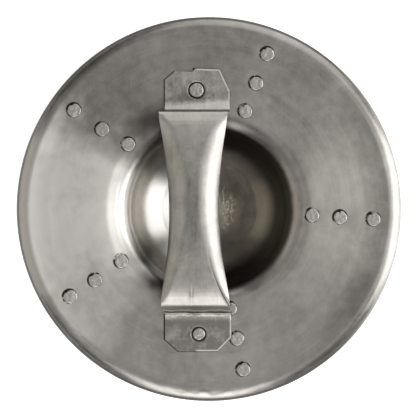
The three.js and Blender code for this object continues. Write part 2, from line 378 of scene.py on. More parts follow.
def stretch_point(start, end, radius):
    """Rise and slope at a radius on the round stretch from one knot to the next."""
    (start_radius, start_slope, _), (end_radius, end_slope, _) = start, end
    bend = math.sin(end_slope) - math.sin(start_slope)
    if abs(bend) < 1e-9:
        return (radius - start_radius) * math.tan(start_slope), start_slope
    roundness = (end_radius - start_radius) / bend
    slope = math.asin(clamp(math.sin(start_slope) + (radius - start_radius) / roundness, -1, 1))
    return roundness * (math.cos(start_slope) - math.cos(slope)), slope


def back_at(radius):
    """Height and slope of the plate's back at a radius."""
    height = bpy.context.scene.buckler_plate.sheet
    for start, end in pairwise(back_knots()):
        if radius <= end[0]:
            rise, slope = stretch_point(start, end, radius)
            return height + rise, slope
        height += stretch_point(start, end, end[0])[0]
    return height, RIM_EDGE_SLOPE


def back_line():
    """Radius, height and slope along the plate's back, from its middle outwards."""
    radii = [0.0]
    for start, end in pairwise(back_knots()):
        radii += [lerp(start[0], end[0], step / end[2]) for step in range(1, end[2] + 1)]
    return [(radius, *back_at(radius)) for radius in radii]


def plate_outline(sheet):
    """The closed half section, from the back's middle out, round the cut edge and in again."""
    line = back_line()
    back = [(radius, height) for radius, height, _ in line]
    front = [
        (radius + math.sin(slope) * sheet, height - math.cos(slope) * sheet)
        for radius, height, slope in line[::-3]
    ]
    edge_radius, edge_height, edge_slope = line[-1]
    along = Vector((math.cos(edge_slope), math.sin(edge_slope)))
    inward = Vector((math.sin(edge_slope), -math.cos(edge_slope)))
    edge = Vector((edge_radius, edge_height))
    cut = []
    for step in range(9):
        turn = math.pi * step / 8
        middle = CUT_ROUNDING if step < 4.5 else sheet - CUT_ROUNDING
        into_sheet = middle - CUT_ROUNDING * math.cos(turn)
        outwards = CUT_ROUNDING * math.sin(turn) - CUT_ROUNDING
        cut.append(tuple(edge + inward * into_sheet + along * outwards))
    return back[:-1] + cut + front[1:-1] + [(0.0, line[0][1] - sheet)]


def rivet_place(name):
    """Where a rivet's axis meets the plate's back."""
    low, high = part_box(name)
    place = (low + high) / 2
    return Vector((place.x, place.y, back_at(place.xy.length)[0]))


def row_angle(row):
    """Which way a row of rivets runs from the middle, in degrees from +X."""
    places = [rivet_place(f"rivet_row_{row}_{place}") for place in PLACES]
    total = sum(places, Vector())
    return math.degrees(math.atan2(total.y, total.x)) % 360


def sprung_height(radius):
    """How high the warped stretch stands at a radius, as a share of the warp."""
    past_lip = max(0, radius - 72 * MM)
    step = 1 - math.exp(-past_lip / (8 * MM))
    climb = min(past_lip / (44 * MM), 1.2)
    return 0.5 * step + 0.6 * climb


def rim_crease(radius, degrees):
    """How deep the crease in the rim is."""
    line = 141 * MM + 0.8 * MM * wander((degrees * MM, 0), 3 * MM, 4)
    return 0.3 * MM * plateau(degrees, 222, 226, 235, 239) * bump_at(radius - line, 1.6 * MM)


def plate_shift():
    """A function that gives how far hammering has raised the sheet at a point."""
    warp = bpy.context.scene.buckler_plate.warp
    rivets = [rivet_place(name) for name in FIELD_RIVETS]
    lifts = [RAISED_ROW_LIFT if f"row_{RAISED_ROW}" in name else -RIVET_DIMPLE for name in FIELD_RIVETS]
    start, end = row_angle(2), row_angle(3)

    def shift(x, y):
        radius = math.hypot(x, y)
        degrees = math.degrees(math.atan2(y, x)) % 360
        open_sheet = smooth_step(68 * MM, 84 * MM, radius)
        rise = warp * plateau(degrees, start + 1, start + 19, end - 12, end + 24) * sprung_height(radius)
        rise += 0.16 * MM * open_sheet * wander((x, y), 55 * MM, 1)
        rise += 0.05 * MM * open_sheet * wander((x, y), 12 * MM, 2)
        rise -= LIP_SINK * plateau(radius, 58 * MM, 73 * MM, 74 * MM, 80.5 * MM)
        struck = bump_at(degrees - start, 9) * plateau(radius, 68 * MM, 84 * MM, 128 * MM, 142 * MM)
        rise += 0.32 * MM * struck * wander((x, y), 7 * MM, 11)
        for rivet, lift in zip(rivets, lifts):
            distance = math.hypot(x - rivet.x, y - rivet.y)
            if distance < 14 * MM:
                rise += lift * bump_at(distance, 9 * MM)
        rim = smooth_step(139 * MM, 146 * MM, radius)
        rise += 0.12 * MM * rim * wander((degrees * 0.4 * MM, radius), 6 * MM, 3)
        rise -= rim_crease(radius, degrees)
        rise -= BOSS_RING_DEPTH * bump_at(radius - BOSS_RING_RADIUS, 1.2 * MM)
        return rise

    return shift


def painted_sheen_at(x, y):
    """How much painted sheen, a lighter colour for reflected light, the back has at a point, from 0 to 1."""
    degrees = math.degrees(math.atan2(y, x)) % 360
    facing_right = smooth_step(0.2, 1, -math.cos(math.radians(degrees)))
    in_boss = 0.3 + 0.3 * facing_right
    degrees = clamp(degrees + 5 * wander((x, y), 14 * MM, 10), 0, 360)
    for (start, before), (end, after) in pairwise(PAINTED_SHEEN):
        if degrees <= end:
            on_sheet = lerp(before, after, smooth_step(start, end, degrees))
            break
    return lerp(in_boss, on_sheet, smooth_step(64 * MM, 72 * MM, math.hypot(x, y)))


def painted_shade_at(x, y):
    """How much painted shade the back has at a point, from 0 to 1."""
    degrees = math.degrees(math.atan2(y, x)) % 360 + 5 * wander((x, y), 12 * MM, 12)
    radius = math.hypot(x, y) / MM + 4 * wander((x, y), 9 * MM, 13)
    return max(
        strength * bump_at(degrees - middle, wide) * bump_at(radius - out, deep)
        for middle, out, wide, deep, strength in PAINTED_SHADE_PATCHES
    )


def build_plate():
    settings = bpy.context.scene.buckler_plate
    bm = bmesh.new()
    geom = chain(bm, plate_outline(settings.sheet))
    spin_full(bm, geom, settings.steps)
    shift = plate_shift()
    polish_and_sheen, painted_shade, back = (bm.verts.layers.float.new(name) for name in ("polish_and_sheen", "painted_shade", "back"))
    for vert in bm.verts:
        x, y, z = vert.co
        vert.co.z += shift(x, y)
        on_back = z > back_at(math.hypot(x, y))[0] - 0.3 * settings.sheet
        # The back gets its painted sheen; the front gets an even polish.
        vert[polish_and_sheen] = painted_sheen_at(x, y) if on_back else FRONT_POLISH
        # Painted shade: a darker colour where shade is painted in.
        vert[painted_shade] = painted_shade_at(x, y)
        vert[back] = float(on_back)
    return finished_piece("plate", bm, plate_steel())


# ---- Handle's shape ---------------------------------------------------------------------------


def rounded_line(corners, spacing):
    """Points along straight runs joined by round bends. A corner is a point and a bend radius."""
    line = [corners[0][0]]
    for (before, _), (corner, bend), (after, _) in zip(corners, corners[1:], corners[2:]):
        if not bend:
            line.append(corner)
            continue
        inward = (before - corner).normalized()
        outward = (after - corner).normalized()
        half = inward.angle(outward) / 2
        start = corner + inward * bend / math.tan(half)
        middle = corner + (inward + outward).normalized() * bend / math.sin(half)
        turn = math.pi - 2 * half
        side = math.copysign(1, inward.x * outward.y - inward.y * outward.x)
        steps = max(4, round(turn * bend / (0.6 * MM)))
        for step in range(steps + 1):
            spoke = start - middle
            spoke.rotate(Matrix.Rotation(-side * turn * step / steps, 2))
            line.append(middle + spoke)
    line.append(corners[-1][0])
    fine = [line[0]]
    for start, end in pairwise(line):
        parts = max(1, math.ceil((end - start).length / spacing))
        fine += [start.lerp(end, part / parts) for part in range(1, parts + 1)]
    return fine


def handle_line(sheet):
    """The strip's middle line seen from the side, as points of Y and Z, front tab first."""
    tab = HANDLE_LOW.z + sheet / 2
    grip = HANDLE_HIGH.z - sheet / 2
    front, rear = FRONT_END, REAR_END
    corners = [
        (Vector((front["tab_bend"] + TAB_RUN, tab)), 0),
        (Vector((front["tab_bend"], tab)), front["tab_bend_radius"]),
        (Vector((front["foot"], tab + front["foot_rise"])), front["foot_bend_radius"]),
        (Vector((front["grip_bend"], grip - GRIP_BOW)), GRIP_BEND_RADIUS),
    ]
    steps = 48
    for step in range(2, steps - 1):
        y = lerp(front["grip_bend"], rear["grip_bend"], step / steps)
        end = front["grip_bend"] if y > 0 else rear["grip_bend"]
        corners.append((Vector((y, grip - GRIP_BOW * abs(y / end) ** GRIP_BOW_POWER)), 0))
    corners += [
        (Vector((rear["grip_bend"], grip - GRIP_BOW)), GRIP_BEND_RADIUS),
        (Vector((rear["foot"], tab + rear["foot_rise"])), rear["foot_bend_radius"]),
        (Vector((rear["tab_bend"], tab)), rear["tab_bend_radius"]),
        (Vector((rear["tab_bend"] - TAB_RUN, tab)), 0),
    ]
    return rounded_line(corners, 1.0 * MM)


def across_strip(distance, flat, bend, roll):
    """Sideways reach, drop and lean at a distance from the strip's middle line."""
    if roll < 1e-4:
        return distance, 0.0, 0.0
    side = math.copysign(1, distance)
    away = abs(distance)
    bent = clamp(away - flat, 0, bend)
    straight = max(0, away - flat - bend)
    radius = bend / roll
    lean = bent / radius
    reach = min(away, flat) + radius * math.sin(lean) + straight * math.cos(lean)
    drop = radius * (1 - math.cos(lean)) + straight * math.sin(lean)
    return side * reach, drop, side * lean


def strip_at(y):
    """Middle and half width of the strip where its middle line is at y, its flat, bend and roll."""
    front, rear = FRONT_END, REAR_END
    along = clamp((y - rear["grip_bend"]) / (front["grip_bend"] - rear["grip_bend"]))
    end = front if y > 0 else rear
    riser = smooth_step(abs(end["grip_bend"]), abs(end["foot"]), abs(y))
    middle, half = (
        lerp(lerp(rear["grip_strip"][k], front["grip_strip"][k], along), end["tab_strip"][k], riser)
        for k in range(2)
    )
    outward = abs(2 * along - 1)
    flat = GRIP_HALF_FLAT + GRIP_END_FLAT * outward ** end["flattening"]
    outline_roll = OUTLINE_ROLL * (1 - outward**2) ** OUTLINE_POWER
    width = across_strip(half, OUTLINE_HALF_FLAT, OUTLINE_BEND, outline_roll)[0]
    half -= WAIST_CUT * (1 - outward**2)
    bend = min(GRIP_ROLLED_STRIP, half - flat - 0.5 * MM)
    low, high = 0.0, math.radians(110)
    for _ in range(30):
        roll = (low + high) / 2
        if across_strip(half, flat, bend, roll)[0] > width:
            low = roll
        else:
            high = roll
    return middle, half, flat, bend, roll


def tab_end(corners, x):
    """How far along Y the snipped tab reaches at x."""
    for (left, left_y), (right, right_y) in pairwise(corners):
        if x <= right * MM:
            return lerp(left_y, right_y, clamp((x / MM - left) / (right - left))) * MM
    return corners[-1][1] * MM


def crease_at(y):
    """Where the crease along the grip's right flange lies at y, and how deep it is."""
    down = clamp((CREASE_START - y) / CREASE_RUN)
    place = lerp(*CREASE_SIDES, down**2)
    return place, plateau(down, 0.12, 0.75, 0.99, 1)


def hammered_bends(x, y):
    """How rough hammering has left the two lower bends, as a share of its depth."""
    rough = 0.6 * wander((x, y), 3.4 * MM, 7) + 0.5 * wander((x, y), 1.5 * MM, 8)
    return rough * sum(share * bump_at(y - bend, width) for bend, width, share in HAMMERED_BENDS)


def handle_relief(x, y, rivets, hammering):
    """How far the handle's surface stands out at a point."""
    lift = 0.07 * MM * wander((x * 1.6, y * 0.5), 14 * MM, 5) + 0.012 * MM * wander((x, y), 4 * MM, 6)
    lift += hammering * hammered_bends(x, y)
    ledge = LEDGE_PLACE + 0.5 * MM * wander((x, 0), 8 * MM, 9)
    lift += 0.35 * MM * bump_at(y - ledge, 0.8 * MM) - 0.4 * MM * bump_at(y - ledge + 1.3 * MM, 0.9 * MM)
    for rivet in rivets:
        distance = math.hypot(x - rivet.x, y - rivet.y) + (0 if rivet.y > 0 else SMALLER_REAR_TAIL)
        lift -= 0.6 * MM * bump_at(distance - 6.0 * MM, 1.1 * MM)
        lift += 0.1 * MM * bump_at(distance - 7.6 * MM, 1.6 * MM)
    crease, depth = crease_at(y)
    lift -= 0.25 * MM * depth * bump_at(x - crease, 0.9 * MM)
    dent_x, dent_y = DENT_PLACE
    return lift - 0.4 * MM * bump_at(x - dent_x, 2.2 * MM) * bump_at(y - dent_y, 8 * MM)


def shape_strip(bm, sheet, rows):
    """Takes a flat grid, two units a side, to the upper face of the bent, rolled and snipped strip."""
    line = handle_line(sheet)
    last = len(line) - 1
    hammering = bpy.context.scene.buckler_handle.hammering
    rivets = [rivet_place(name) for name in HANDLE_RIVETS]
    strips = {}
    for vert in bm.verts:
        row = round((vert.co.y + 1) / 2 * (rows - 1)) - TAB_ROWS
        station = clamp(row, 0, last)
        point = line[station]
        tangent = (line[min(station + 1, last)] - line[max(station - 1, 0)]).normalized()
        outward = Vector((tangent.y, -tangent.x))
        if row not in strips:
            strips[row] = strip_at(point.x)
        middle, half, flat, bend, roll = strips[row]
        reach, drop, lean = across_strip(vert.co.x * half, flat, bend, roll)
        x = middle + reach
        y = point.x
        beyond = max(-row, row - last)
        if beyond > 0:
            corners = FRONT_TAB_CORNERS if row < 0 else REAR_TAB_CORNERS
            y = lerp(y, tab_end(corners, x), beyond / TAB_ROWS)
        relief = handle_relief(x, y, rivets, hammering)
        lift = (sheet / 2 + relief) * math.cos(lean) - drop
        along = Vector((y, point.y)) + outward * lift
        vert.co = (x + (sheet / 2 + relief) * math.sin(lean), along.x, along.y)


def build_handle():
    sheet = bpy.context.scene.buckler_handle.sheet
    rows = len(handle_line(sheet)) + 2 * TAB_ROWS
    bm = bmesh.new()
    bmesh.ops.create_grid(bm, x_segments=STRIP_COLUMNS, y_segments=rows - 1, size=1)
    shape_strip(bm, sheet, rows)
    bmesh.ops.recalc_face_normals(bm, faces=bm.faces)
    if sum(face.normal.z for face in bm.faces) < 0:
        bmesh.ops.reverse_faces(bm, faces=bm.faces)
    bmesh.ops.solidify(bm, geom=bm.faces[:], thickness=sheet)
    bmesh.ops.recalc_face_normals(bm, faces=bm.faces)
    sharp = [edge for edge in bm.edges if edge.calc_face_angle(0) > math.radians(60)]
    bmesh.ops.bevel(
        bm,
        geom=sharp,
        offset=0.9 * MM,
        segments=3,
        profile=0.5,
        affect="EDGES",
        material=-1,
        clamp_overlap=True,
    )
    return finished_piece("handle", bm, handle_steel())


# ---- Rivets' shape ----------------------------------------------------------------------------


def rivet_outline(held, tail_radius):
    """Half section of a rivet from its domed head to its hammered tail. The plate's back is at 0."""
    settings = bpy.context.scene.buckler_rivets
    gap = 0.02 * MM
    head_face = -bpy.context.scene.buckler_plate.sheet - gap
    top = held + settings.tail_height
    dome = []
    for step in range(13):
        turn = math.radians(90 * step / 12)
        dome.append((HEAD_RADIUS * math.sin(turn), head_face - settings.head_height * math.cos(turn)))
    tail = [
        (settings.shank, held + gap),
        (tail_radius - 0.2 * MM, held + gap),
        (tail_radius, held + 0.2 * MM),
    ]
    for step in range(6):
        turn = math.radians(90 * step / 5)
        reach = tail_radius - 1.6 * TAIL_SHOULDER * (1 - math.cos(turn))
        tail.append((reach, top - 0.9 * TAIL_SHOULDER * (1 - math.sin(turn))))
    inner = tail[-1][0]
    for part in (0.92, 0.82, 0.7, 0.58, 0.46, 0.34, 0.22, 0.1, 0):
        tail.append((inner * part, top + 0.06 * MM * (1 - part)))
    return [(0.0, dome[0][1]), *dome[1:], (settings.shank, head_face), *tail]


def seat(place, shift):
    """The point of the hammered sheet at a place, and the way that it faces there."""
    reach = 4 * MM

    def height(x, y):
        return back_at(math.hypot(x, y))[0] + shift(x, y)

    rise_x = height(place.x + reach, place.y) - height(place.x - reach, place.y)
    rise_y = height(place.x, place.y + reach) - height(place.x, place.y - reach)
    normal = Vector((-rise_x, -rise_y, 2 * reach)).normalized()
    return Vector((place.x, place.y, height(place.x, place.y))), normal


def hammer_tail(bm, seed, held, tail_radius):
    """Makes a rivet's tail uneven, notches most field rivets' tails, and marks its vertices."""
    tail = bm.verts.layers.float.new("tail")
    notch_turn = math.radians(120 + 30 * wander((seed, 0), 0.7, 3))
    notch = Vector((math.cos(notch_turn), math.sin(notch_turn)))
    notch_depth = 0.2 * clamp(0.5 + 2.5 * wander((seed, 0), 0.61, 8)) if held == 0 else 0.0
    for vert in bm.verts:
        if vert.co.z < held:
            continue
        vert[tail] = 1.0
        place = vert.co.xy
        radius = place.length
        if radius > 1e-6:
            around = place.normalized()
            uneven = 0.045 * wander(around, 0.9, seed) + 0.025 * wander(around, 0.35, seed + 40)
            uneven -= notch_depth * bump_at((around - notch).length, 0.3)
            spread = uneven * smooth_step(0.4, 1, radius / tail_radius)
            vert.co.x += place.x * spread
            vert.co.y += place.y * spread
        dents = 0.22 * MM * wander(place, 2.4 * MM, seed) + 0.09 * MM * wander(place, 1.0 * MM, seed + 60)
        vert.co.z += dents * smooth_step(held, held + 0.8 * MM, vert.co.z)


def clear_rear_tab(bm, back):
    """Flattens a tail where it meets the side of the rear tab. The plate's back there is at back."""
    for vert in bm.verts:
        beside_tab = TAB_ROOM["bottom"] < vert.co.y < TAB_ROOM["top"] and vert.co.z > back
        if beside_tab and 0 < vert.co.x < TAB_ROOM["right"]:
            vert.co.x = TAB_ROOM["right"]


def build_rivet(name, seed, held, tail_radius):
    """Builds a rivet. Held is how thick the handle is under its tail, with the gap below it."""
    bm = bmesh.new()
    geom = chain(bm, rivet_outline(held, tail_radius))
    spin_full(bm, geom, 72)
    hammer_tail(bm, seed, held, tail_radius)
    place, normal = seat(rivet_place(name), plate_shift())
    turn = Vector((0, 0, 1)).rotation_difference(normal).to_matrix().to_4x4()
    bmesh.ops.transform(bm, matrix=Matrix.Translation(place) @ turn, verts=bm.verts)
    if held == 0:
        clear_rear_tab(bm, place.z)
    return finished_piece(name, bm, rivet_steel())


# ---- Node helpers -----------------------------------------------------------------------------


class Tree:
    """Adds nodes to a node tree. An input takes a socket to link or a plain value."""

    def __init__(self, tree):
        self.tree = tree

    def feed(self, socket, value):
        if isinstance(value, bpy.types.NodeSocket):
            self.tree.links.new(value, socket)
        else:
            socket.default_value = value

    def add(self, kind, inputs=(), **settings):
        node = self.tree.nodes.new("ShaderNode" + kind)
        for name, value in settings.items():
            setattr(node, name, value)
        pairs = inputs.items() if isinstance(inputs, dict) else enumerate(inputs)
        for key, value in pairs:
            self.feed(node.inputs[key], value)
        return node

    def effect(self, name, **inputs):
        """Places a shared effect. An input is named by its socket's name in small letters."""
        node = self.tree.nodes.new("ShaderNodeGroup")
        node.node_tree = shared_effect(name)
        for socket, value in inputs.items():
            self.feed(node.inputs[socket.title()], value)
        return node.outputs

    def attribute(self, name):
        return self.add("Attribute", attribute_name=name).outputs["Fac"]

    def parts(self, vector):
        return self.add("SeparateXYZ", [vector]).outputs

    def scaled(self, vector, scale):
        return self.add("Mapping", {"Vector": vector, "Scale": scale}).outputs[0]

    def moved(self, vector, shift):
        return self.vector("ADD", vector, shift)

    def math(self, operation, *values, clamped=False):
        return self.add("Math", values, operation=operation, use_clamp=clamped).outputs[0]

    def product(self, *values):
        return reduce(lambda first, second: self.math("MULTIPLY", first, second), values)

    def total(self, *values):
        return reduce(lambda first, second: self.math("ADD", first, second), values)

    def most(self, *values):
        return reduce(lambda first, second: self.math("MAXIMUM", first, second), values)

    def least(self, *values):
        return reduce(lambda first, second: self.math("MINIMUM", first, second), values)

    def swing(self, value, amount):
        """Takes a value from 0 to 1 to a swing of that amount about 0."""
        return self.product(self.math("SUBTRACT", value, 0.5), amount)

    def vector(self, operation, *values):
        node = self.add("VectorMath", values, operation=operation)
        scalar = operation in ("LENGTH", "DISTANCE", "DOT_PRODUCT")
        return node.outputs["Value" if scalar else "Vector"]

    def noise(self, vector, scale, detail=3.0, roughness=0.55, distortion=0.0):
        inputs = {"Vector": vector, "Scale": scale, "Detail": detail}
        inputs |= {"Roughness": roughness, "Distortion": distortion}
        return self.add("TexNoise", inputs).outputs["Fac"]

    def ramp(self, value, low, high, start=0.0, end=1.0):
        """Smoothly takes value from low..high to start..end."""
        inputs = {"Value": value, "From Min": low, "From Max": high, "To Min": start, "To Max": end}
        return self.add("MapRange", inputs, interpolation_type="SMOOTHSTEP").outputs["Result"]

    def fade(self, value, low, high, strength=1.0):
        """Strength where value is below low, and 0 where it is over high."""
        return self.ramp(value, low, high, strength, 0.0)

    def band(self, value, rise, fall, strength=1.0):
        """Strength where value lies between a rise and a fall, each a pair of limits."""
        return self.product(self.ramp(value, *rise), self.fade(value, *fall, strength))

    def line(self, value, place, narrow, wide, strength=1.0):
        """Strength where value is within narrow of a place, and 0 where it is past wide."""
        away = self.math("ABSOLUTE", self.math("SUBTRACT", value, place))
        return self.fade(away, narrow, wide, strength)

    def blend(self, part, first, second, mode="MIX"):
        """The first colour, taken towards the second as part goes from 0 to 1."""
        inputs = {0: part, 6: first, 7: second}
        return self.add("Mix", inputs, data_type="RGBA", blend_type=mode).outputs[2]


def opaque(colour):
    return (*colour, 1.0)


# ---- Shared effects ---------------------------------------------------------------------------


def spun_position(tree, inner):
    """Takes a position to one in which a turned piece's rings are flat layers."""
    flat = tree.vector("MULTIPLY", inner["Position"], (1, 1, 0))
    radius = tree.vector("LENGTH", flat)
    direction = {0: tree.vector("NORMALIZE", flat), "Scale": inner["Arc"]}
    around = tree.add("VectorMath", direction, operation="SCALE").outputs[0]
    reach = tree.product(tree.total(radius, tree.parts(inner["Position"])["Z"]), 1 / MM)
    ring = tree.add("CombineXYZ", {"Z": reach}).outputs[0]
    return {"Vector": tree.vector("ADD", around, ring), "Radius": radius}


def brushed_grain(tree, inner):
    """Fine lines and wider bands that run the way in which the given vector changes slowly."""
    wide = tree.product(inner["Fineness"], 0.17)
    return {
        "Lines": tree.noise(inner["Vector"], inner["Fineness"], detail=3, roughness=0.7),
        "Bands": tree.noise(inner["Vector"], wide, detail=2, roughness=0.5),
    }


def handled_smudges(tree, inner):
    """Soft blotches such as handling and uneven polish leave on steel."""
    scale = tree.math("DIVIDE", 1.0, inner["Size"])
    broad = tree.noise(inner["Position"], scale, detail=3, roughness=0.5, distortion=0.4)
    fine = tree.noise(inner["Position"], tree.product(scale, 7.0), detail=5, roughness=0.65)
    return {"Broad": tree.ramp(broad, 0.3, 0.7), "Fine": tree.ramp(fine, 0.3, 0.7)}


def crossed_scratches(tree, inner):
    """Thin straight scratches in three directions."""
    clear = tree.total(inner["Rarity"], 0.04)
    masks = []
    for turn, thinness in ((0.5, 1920), (1.9, 2640), (2.8, 1440)):
        inputs = {"Vector": inner["Position"], "Rotation": (0, 0, turn), "Scale": (thinness, 26, 26)}
        streaks = tree.noise(tree.add("Mapping", inputs).outputs[0], 1.0, detail=2, roughness=0.5)
        limits = {"Value": streaks, "From Min": inner["Rarity"], "From Max": clear}
        masks.append(tree.add("MapRange", limits).outputs["Result"])
    return {"Mask": tree.most(*masks)}


def rivet_seams(tree, inner):
    """Distances in millimetres from the axes of the nearest field rivet and handle rivet."""
    flat = tree.vector("MULTIPLY", inner["Position"], (1 / MM, 1 / MM, 0))
    nearest = {}
    for output, names in (("Field", FIELD_RIVETS), ("Handle", HANDLE_RIVETS)):
        places = [rivet_place(name) / MM for name in names]
        distances = [tree.vector("DISTANCE", flat, (place.x, place.y, 0)) for place in places]
        nearest[output] = tree.least(*distances)
    return nearest


def tab_seams(tree, inner):
    """Distance in millimetres outside the outline of the nearer tab."""
    flat = tree.vector("MULTIPLY", inner["Position"], (1 / MM, 1 / MM, 0))
    tabs = []
    for outline in TAB_OUTLINES:
        sides = []
        for start, end in zip(outline, outline[1:] + outline[:1]):
            side = Vector(end) - Vector(start)
            normal = Vector((-side.y, side.x)).normalized()
            reach = tree.vector("DOT_PRODUCT", flat, (*normal, 0))
            sides.append(tree.math("SUBTRACT", reach, normal.dot(Vector(start))))
        tabs.append(tree.most(*sides))
    return {"Distance": tree.least(*tabs)}


# Each effect's function, its inputs, which are a vector or a number with its default, and its outputs.
EFFECTS = {
    "Spun Position": (spun_position, {"Position": None, "Arc": 2.0}, ("Vector", "Radius")),
    "Brushed Grain": (brushed_grain, {"Vector": None, "Fineness": 1.0}, ("Lines", "Bands")),
    "Handled Smudges": (handled_smudges, {"Position": None, "Size": 0.04}, ("Broad", "Fine")),
    "Crossed Scratches": (crossed_scratches, {"Position": None, "Rarity": 0.68}, ("Mask",)),
    "Rivet Seams": (rivet_seams, {"Position": None}, ("Field", "Handle")),
    "Tab Seams": (tab_seams, {"Position": None}, ("Distance",)),
}


def shared_effect(name):
    """The node group of an effect, built the first time that it is asked for."""
    group = bpy.data.node_groups.get(name)
    if group:
        return group
    fill, inputs, outputs = EFFECTS[name]
    group = bpy.data.node_groups.new(name, "ShaderNodeTree")
    for socket, default in inputs.items():
        kind = "NodeSocketVector" if default is None else "NodeSocketFloat"
        item = group.interface.new_socket(socket, in_out="INPUT", socket_type=kind)
        if default is not None:
            item.default_value = default
    for socket in outputs:
        kind = "NodeSocketVector" if socket == "Vector" else "NodeSocketFloat"
        group.interface.new_socket(socket, in_out="OUTPUT", socket_type=kind)
    inner = group.nodes.new("NodeGroupInput").outputs
    result = group.nodes.new("NodeGroupOutput").inputs
    for socket, value in fill(Tree(group), inner).items():
        group.links.new(value, result[socket])
    return group


# ---- Materials --------------------------------------------------------------------------------


def new_material(name):
    """A material with its tree helper, its shader and an Object coordinate socket."""
    material = bpy.data.materials.new(name)
    material.use_nodes = True
    nodes = material.node_tree.nodes
    nodes.clear()
    tree = Tree(material.node_tree)
    shader = tree.add("BsdfPrincipled")
    output = tree.add("OutputMaterial")
    material.node_tree.links.new(shader.outputs[0], output.inputs[0])
    position = tree.add("TexCoord").outputs["Object"]
    return material, tree, shader, position


def finish_steel(tree, shader, colour, roughness, relief, strength=0.10, depth=0.1 * MM):
    """Gives a steel's shader its colour, its roughness and a fine relief."""
    bump = tree.add("Bump", {"Strength": strength, "Distance": depth, "Height": relief})
    tree.feed(shader.inputs["Base Color"], colour)
    tree.feed(shader.inputs["Roughness"], roughness)
    tree.feed(shader.inputs["Normal"], bump.outputs[0])
    shader.inputs["Metallic"].default_value = 1.0


def worn_middle(tree, position, radius):
    """The thin crinkled lines of the worn patch in the middle of the boss."""
    crinkled = tree.scaled(position, (330, 110, 100))
    veins = tree.noise(crinkled, 1.0, detail=3, roughness=0.55, distortion=1.0)
    return tree.product(tree.line(veins, 0.5, 0.012, 0.035), tree.fade(radius, 18 * MM, 24 * MM))


def rivet_rings(tree, position):
    """The broken dark rings round the field rivets' tails, dirt and painted shadow, set off to show most on
    the upper left.
    """
    seams = tree.effect("Rivet Seams", position=tree.moved(position, (0.55 * MM, -0.55 * MM, 0)))
    patches = tree.noise(position, 210.0, detail=2)
    return tree.product(tree.fade(seams["Field"], 5.6, 6.6), tree.ramp(patches, 0.36, 0.48, 0.2, 1.0))


def plate_grime_and_painted_shade(tree, position, radius, side):
    """How dark the plate is with grime and painted shade, on the boss wall, lip, rim, cut edge and round the
    tabs.
    """
    upward = tree.math("DIVIDE", tree.parts(position)["Y"], radius)
    # Darker boss wall: mostly painted shade on its right side, which lies in shade, with some grime.
    wall = tree.band(radius, (40 * MM, 54 * MM), (63 * MM, 68 * MM))
    wall = tree.product(wall, tree.ramp(side, -0.9, 0.35, 0.0, 0.92))
    # Painted shade on the top of the lip.
    top_lip = tree.band(radius, (61 * MM, 65 * MM), (70 * MM, 77 * MM))
    top_lip = tree.product(top_lip, tree.ramp(upward, 0.4, 0.9, 0.0, 0.6))
    # Painted shade on the turned rim's left side, and on the cut edge everywhere but the right.
    turned_rim = tree.product(tree.ramp(radius, 140 * MM, 143.5 * MM), tree.fade(side, -0.85, -0.35, 0.32))
    cut_edge = tree.product(tree.ramp(radius, 147 * MM, 148.4 * MM), tree.ramp(side, 0.6, 1.0, 0.85, 0.1))
    # A dark line round the tabs, partly dirt in the seam and partly painted shadow, set off to the left.
    tab = tree.effect("Tab Seams", position=tree.moved(position, (0.35 * MM, 0, 0)))
    outline = tree.fade(tab["Distance"], 0.1, 1.1)
    return tree.most(wall, top_lip, turned_rim, cut_edge, outline, tree.attribute("painted_shade"))


def plate_steel():
    settings = bpy.context.scene.buckler_plate
    material, tree, shader, position = new_material("plate_steel")
    spun = tree.effect("Spun Position", position=position, arc=2.5)
    grain = tree.effect("Brushed Grain", vector=spun["Vector"], fineness=1.3)
    smudges = tree.effect("Handled Smudges", position=position, size=0.05)
    scratches = tree.effect("Crossed Scratches", position=position, rarity=0.70)["Mask"]
    back = tree.attribute("back")
    radius = spun["Radius"]
    side = tree.math("DIVIDE", tree.parts(position)["X"], radius)

    tone = tree.total(
        tree.swing(grain["Lines"], 0.19),
        tree.swing(grain["Bands"], 0.17),
        tree.swing(smudges["Broad"], 0.22),
        tree.swing(smudges["Fine"], 0.12),
    )
    # Painted sheen lightens the steel's colour where reflected light is painted in.
    tone = tree.math("ADD", tone, tree.attribute("polish_and_sheen"), clamped=True)
    steel = tree.blend(tone, opaque(settings.dark), opaque(settings.light))
    steel = tree.blend(tree.product(scratches, 0.3), steel, PLATE_SCRATCH)
    # A warm tint painted only on the right side of the boss, which lies in shade, and kept off its lit left
    # side.
    warm = tree.product(tree.fade(radius, 50 * MM, 60 * MM), tree.ramp(side, -0.4, 0.4), back)
    steel = tree.blend(warm, steel, SHADED_BOSS_TINT, "MULTIPLY")
    veins = tree.product(worn_middle(tree, position, radius), back)
    steel = tree.blend(veins, steel, WORN_STEEL)
    # Rings of dirt and painted shadow round the field rivets.
    rings = rivet_rings(tree, position)
    # Dirt and painted shade share one dark colour.
    grime_and_shade = tree.product(tree.most(rings, plate_grime_and_painted_shade(tree, position, radius, side)), back)
    steel = tree.blend(grime_and_shade, steel, PLATE_GRIME_AND_PAINTED_SHADE)

    rough = tree.total(
        0.24,
        tree.product(grain["Lines"], 0.10),
        tree.product(smudges["Fine"], 0.05),
        tree.product(rings, 0.3),
    )
    relief = tree.total(grain["Lines"], tree.product(scratches, -0.6), tree.product(veins, 9.0))
    finish_steel(tree, shader, steel, rough, relief)
    shader.inputs["Anisotropic"].default_value = 0.5
    shader.inputs["Anisotropic Rotation"].default_value = 0.25
    tangent = tree.add("Tangent", direction_type="RADIAL", axis="Z")
    tree.feed(shader.inputs["Tangent"], tangent.outputs[0])
    return material


def crease_shade(tree, x, y):
    """The dark line along the crease in the grip's right flange."""
    down = tree.math("DIVIDE", tree.math("SUBTRACT", CREASE_START, y), CREASE_RUN, clamped=True)
    left, right = CREASE_SIDES
    across = tree.math("SUBTRACT", x, tree.product(tree.math("POWER", down, 2.0), right - left))
    return tree.product(
        tree.line(across, left, 0.25 * MM, 0.9 * MM, 0.85),
        tree.ramp(down, 0.4, 0.85),
        tree.ramp(y, -75.2 * MM, -74.4 * MM),
    )


